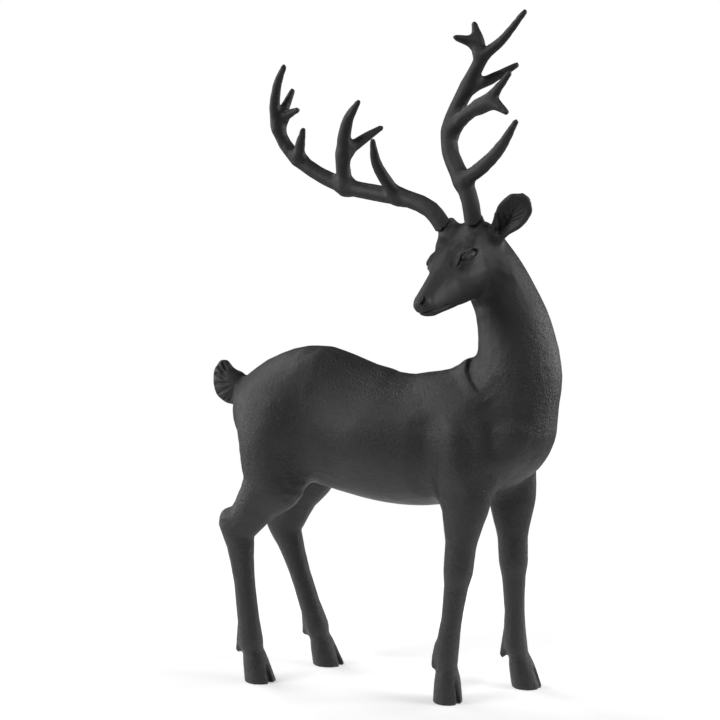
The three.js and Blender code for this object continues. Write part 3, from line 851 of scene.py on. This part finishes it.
class STAG_OT_stage(bpy.types.Operator):
    """Makes the pale floor, the soft lights and the camera"""

    bl_idname = "stag.stage"
    bl_label = "Stage"

    def execute(self, context):
        scene = context.scene
        self.lay_floor(scene.stag_colours.floor)
        self.light_world(scene)
        for name, offset, size, power in LIGHTS:
            self.hang_light(name, offset, size, power)
        self.hang_light(*FACE_LIGHT, head_matrix() @ FACE_LIGHT_AIM, FACE_LIGHT_SPREAD)
        scene.view_settings.view_transform = "Standard"
        self.set_camera(scene)
        return {"FINISHED"}

    def lay_floor(self, colour):
        """Lays a square floor that fades out in a circle."""
        bpy.ops.object.select_all(action="DESELECT")
        bpy.ops.mesh.primitive_plane_add(size=2 * FLOOR_RADIUS)
        floor = bpy.context.object
        floor.name = "floor"
        finish = Finish("studio_floor")
        place = finish.make("ShaderNodeTexCoord", {}, {}, "Object")
        away = finish.make("ShaderNodeVectorMath", {"operation": "LENGTH"}, {0: place}, "Value")
        fade = finish.make("ShaderNodeMapRange", {"interpolation_type": "SMOOTHSTEP"}, {
            "Value": away,
            "From Min": FLOOR_RADIUS / 2,
            "From Max": FLOOR_RADIUS,
            "To Min": 1.0,
            "To Max": 0.0,
        })
        finish.shade(
            Base_Color=(*colour, 1),
            Roughness=FLOOR_ROUGHNESS,
            Alpha=fade,
            Emission_Color=WHITE,
            Emission_Strength=FLOOR_GLOW,
        )
        floor.data.materials.append(finish.material)

    def light_world(self, scene):
        """Puts a faint glow around the statue, and white behind it where the camera looks."""
        world = bpy.data.worlds.new("studio")
        studio = Nodes(world)
        present = studio.tree.nodes
        glow = studio.connect(present["Background"], {"Color": WHITE, "Strength": WORLD_GLOW})
        backdrop = studio.make("ShaderNodeBackground", {}, {"Color": WHITE})
        in_sight = studio.make("ShaderNodeLightPath", {}, {}, "Is Camera Ray")
        mixed = studio.make("ShaderNodeMixShader", {}, {"Fac": in_sight, 1: glow, 2: backdrop})
        studio.tree.links.new(mixed.socket, present["World Output"].inputs["Surface"])
        scene.world = world

    def hang_light(self, name, offset, size, power, aim=CAMERA_TARGET, spread=math.pi):
        """Hangs a soft light at an offset along the camera's axes and turns it to its aim."""
        place = CAMERA_TARGET + sum((axis * part for axis, part in zip(camera_axes(), offset)), Vector())
        bpy.ops.object.light_add(type="AREA", location=place)
        lamp = bpy.context.object
        lamp.name = name
        lamp.data.size = size
        lamp.data.energy = power
        lamp.data.spread = spread
        lamp.rotation_euler = (aim - place).to_track_quat("-Z", "Y").to_euler()

    def set_camera(self, scene):
        """Puts the camera where the photograph was taken from."""
        lens = bpy.data.cameras.new("photo_camera")
        lens.lens = CAMERA_LENS
        lens.sensor_width = SENSOR_WIDTH
        lens.dof.use_dof = False
        camera = bpy.data.objects.new("photo_camera", lens)
        camera.location = camera_place()
        camera.rotation_euler = (-camera_axes()[2]).to_track_quat("-Z", "Y").to_euler()
        scene.collection.objects.link(camera)
        scene.camera = camera


class STAG_PT_tools(bpy.types.Panel):
    """Sidebar list of the stag's sizes, colours and pieces"""

    bl_label = "Cast iron stag"
    bl_space_type = "VIEW_3D"
    bl_region_type = "UI"
    bl_category = "Stag"

    def draw(self, context):
        for group in (context.scene.stag_sizes, context.scene.stag_colours):
            for name in group.bl_rna.properties.keys():
                if name not in ("rna_type", "name"):
                    self.layout.prop(group, name)
        for operator in OPERATORS:
            self.layout.operator(operator.bl_idname)


GROUPS = (StagSizes, StagColours)
OPERATORS = (STAG_OT_body, STAG_OT_antlers, STAG_OT_stage)
CLASSES = (*GROUPS, *OPERATORS, STAG_PT_tools)


def register():
    for one in CLASSES:
        bpy.utils.register_class(one)
    bpy.types.Scene.stag_sizes = bpy.props.PointerProperty(type=StagSizes)
    bpy.types.Scene.stag_colours = bpy.props.PointerProperty(type=StagColours)


def unregister():
    del bpy.types.Scene.stag_colours
    del bpy.types.Scene.stag_sizes
    for one in reversed(CLASSES):
        bpy.utils.unregister_class(one)


def main():
    register()
    bpy.ops.stag.body()
    bpy.ops.stag.antlers()
    bpy.ops.stag.stage()


if __name__ == "__main__":
    main()
